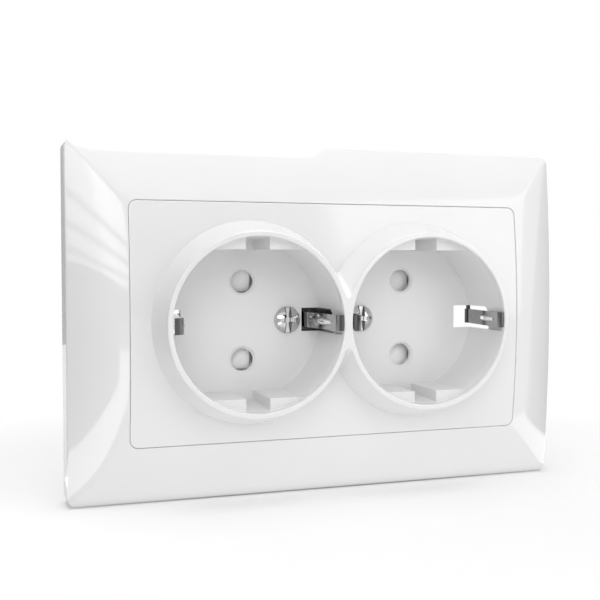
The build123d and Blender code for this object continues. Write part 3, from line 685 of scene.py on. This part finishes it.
# Where it is seen, the table is lit paper that runs out into white. To the other rays it is an even bounce of
# light, which is taken away under the frame's edge so that a dark line is left there.
table_spot = shade.add("ShaderNodeTexCoord", out="Object")
from_socket = shade.add("ShaderNodeVectorMath", {"operation": "LENGTH"}, {0: table_spot}, out="Value")
plain = shade.add("ShaderNodeEmission", None, {"Color": grey(1.0), "Strength": 1.0})
open_bounce = shade.add("ShaderNodeEmission", None, {"Color": grey(1.0), "Strength": bounce_level})
foot_bounce = shade.add("ShaderNodeEmission", None, {"Color": grey(1.0), "Strength": foot_level})
from_foot = (shade.along("Y") - foot_y).size().span(foot_dark, foot_clear)
bounce = shade.add("ShaderNodeMixShader", None, {0: from_foot, 1: foot_bounce, 2: open_bounce})
table_tree = table_white.node_tree
lit = Shade(table_tree, table_tree.nodes["Principled BSDF"].outputs["BSDF"])
far = from_socket.ramp(shadow_reach, white_from)
shown = shade.add("ShaderNodeMixShader", None, {0: far, 1: lit, 2: plain})
table_mix = shade.add("ShaderNodeMixShader", None, {0: seen_rays(shade), 1: bounce, 2: shown})
table_tree.links.new(table_mix.socket, table_tree.nodes["Material Output"].inputs["Surface"])
bm = bmesh.new()
bmesh.ops.create_circle(bm, cap_ends=True, segments=96, radius=table_reach)
bmesh.ops.translate(bm, verts=bm.verts[:], vec=(0.0, 0.0, floor_z))
stage_piece(bm, "table", table_white)

# Studio: a white room, which gives a soft fill and is seen as plain white.
# Softboxes stand round the socket. The gloss alone sees a slatted lamp and two light panels on the table.
fill_level = 0.1
world = bpy.data.worlds.new("white studio")
bpy.context.scene.world = world
world.use_nodes = True
sky = Shade(world.node_tree)
fill = sky.add("ShaderNodeBackground", None, {"Color": grey(1.0), "Strength": fill_level})
backdrop = sky.add("ShaderNodeBackground", None, {"Color": grey(1.0), "Strength": 1.0})
room = sky.add("ShaderNodeMixShader", None, {0: seen_rays(sky), 1: fill, 2: backdrop})
world.node_tree.links.new(room.socket, world.node_tree.nodes["World Output"].inputs["Surface"])


def softbox(name, place, aim, width, height, brightness):
    lamp = bpy.data.lights.new(name, "AREA")
    lamp.shape = "RECTANGLE"
    lamp.size = width
    lamp.size_y = height
    lamp.energy = brightness * math.pi * width * height
    stand = bpy.data.objects.new(name, lamp)
    stand.location = place
    stand.rotation_euler = (Vector(aim) - Vector(place)).to_track_quat("-Z", "Y").to_euler()
    bpy.context.scene.collection.objects.link(stand)
    return stand


# A softbox has its degrees round from the front and up from the table, its brightness, and if gloss sees it.
lamp_distance = 0.9
lamp_width = 0.6
for name, round_degrees, up_degrees, brightness, in_gloss in (
    ("left front softbox", -40.0, 15.0, 1.15, False),
    ("right front softbox", 40.0, 15.0, 1.7, True),
    ("front softbox", -10.0, 36.0, 2.1, False),
    ("overhead softbox", 0.0, 85.0, 3.8, True),
    ("back softbox", 180.0, 60.0, 1.6, True),
):
    lamp_round = math.radians(round_degrees)
    lamp_up = math.radians(up_degrees)
    level_way = Vector((math.sin(lamp_round), -math.cos(lamp_round), 0.0)) * math.cos(lamp_up)
    lamp_way = level_way + Vector((0.0, 0.0, math.sin(lamp_up)))
    lamp = softbox(name, lamp_way * lamp_distance, (0.0, 0.0, 0.0), lamp_width, lamp_width, brightness)
    lamp.visible_glossy = in_gloss

# The slats leave light streaks in the frame's left bar. A band is the degrees up to its lower and upper edge.
slat_distance = 1.0
slat_round = math.radians(-39.0)
slat_half = slat_distance * math.tan(math.radians(26.0))
slat_bands = ((3.9, 5.6), (6.6, 8.9), (9.9, 12.7), (14.0, 24.0))
slat_across = Vector((math.cos(slat_round), math.sin(slat_round), 0.0))
slat_middle = Vector((math.sin(slat_round), -math.cos(slat_round), 0.0)) * slat_distance
for number, (low, high) in enumerate(slat_bands):
    low_z = slat_distance * math.tan(math.radians(low))
    high_z = slat_distance * math.tan(math.radians(high))
    for side, part, brightness in ((-1, "dim", 2.5), (1, "bright", 3.8)):
        slat_aim = slat_across * (side * slat_half / 2) + Vector((0.0, 0.0, (low_z + high_z) / 2))
        slat = softbox(f"slat {number} {part}", slat_middle + slat_aim, slat_aim, slat_half, high_z - low_z,
                       brightness)
        slat.visible_diffuse = False

# The panels lie beside the socket and leave light in the gloss of the frame's lower bars.
panel_lift = 1.0 * MM
for name, near_x, far_x, front_y, back_y, brightness in (
    ("left floor panel", -0.066, -0.22, -0.25, 0.02, 2.8),
    ("right floor panel", 0.066, 0.1, -0.04, 0.05, 1.8),
):
    panel_place = Vector(((near_x + far_x) / 2, (front_y + back_y) / 2, floor_z + panel_lift))
    panel_aim = panel_place + Vector((0.0, 0.0, 1.0))
    panel = softbox(name, panel_place, panel_aim, abs(far_x - near_x), back_y - front_y, brightness)
    panel.visible_camera = False
    panel.visible_diffuse = False

# Cards: paper boards that the socket's gloss sees, as a photographer sets them for dark edges.
# A pale one stands at the left, which shades the table's light too, and a grey one far behind.
# Black ones stand at the right, with a slanted front edge, and far in front.
def card_paper(name, dark, light):
    finish, shade = new_finish(name, {"Roughness": 0.9})
    fibre = shade.noise(300.0, 3.0)
    return feed(finish, {"Base Color": fibre.blend(grey(dark), grey(light))})


card_black = card_paper("black card", 0.01, 0.02)
card_grey = card_paper("grey card", 0.45, 0.49)
card_pale = card_paper("pale grey card", 0.64, 0.68)
left_card_x = -0.096
right_card_x = 0.1
front_card_y = -1.2
rear_card_y = 0.44
for name, paper, shades_table, outline in (
    ("left card", card_pale, True, (
        (left_card_x, -0.125, floor_z), (left_card_x, 0.02, floor_z), (left_card_x, 0.02, 0.017),
        (left_card_x, -0.125, 0.017))),
    ("right card", card_black, False, (
        (right_card_x, -0.033, floor_z), (right_card_x, 0.05, floor_z), (right_card_x, 0.05, 0.05),
        (right_card_x, -0.01, 0.05), (right_card_x, -0.027, 0.004))),
    ("front card", card_black, False, (
        (-0.5, front_card_y, floor_z), (0.44, front_card_y, floor_z), (0.44, front_card_y, 0.7),
        (-0.5, front_card_y, 0.7))),
    ("rear card", card_grey, False, (
        (-0.2, rear_card_y, floor_z), (-0.065, rear_card_y, floor_z), (-0.065, rear_card_y, 0.2),
        (-0.2, rear_card_y, 0.2))),
):
    bm = bmesh.new()
    bm.faces.new([bm.verts.new(corner) for corner in outline])
    card = stage_piece(bm, name, paper)
    card.visible_camera = False
    card.visible_diffuse = shades_table
    card.visible_shadow = False

# Camera: a little to the left of the socket and just above its middle, as in the photograph.
# Its place, the way it looks and its lens were fitted to the pin holes, wells and frame.
lens_place = Vector((-75.4376, -218.4458, 13.0799)) * MM
right_way = Vector((0.950634, -0.310313, -0.000877))
up_way = Vector((0.0123, 0.034855, 0.999317))
view_way = Vector((0.310071, 0.949995, -0.036951))
camera = bpy.data.cameras.new("camera")
camera.sensor_width = 36.0
camera.lens = 54.0556
camera.clip_start = 0.01
viewer = bpy.data.objects.new("camera", camera)
lens_turn = Matrix((right_way, up_way, -view_way)).transposed().to_4x4()
viewer.matrix_world = Matrix.Translation(lens_place) @ lens_turn
bpy.context.scene.collection.objects.link(viewer)
bpy.context.scene.camera = viewer
bpy.context.scene.view_settings.view_transform = "Standard"
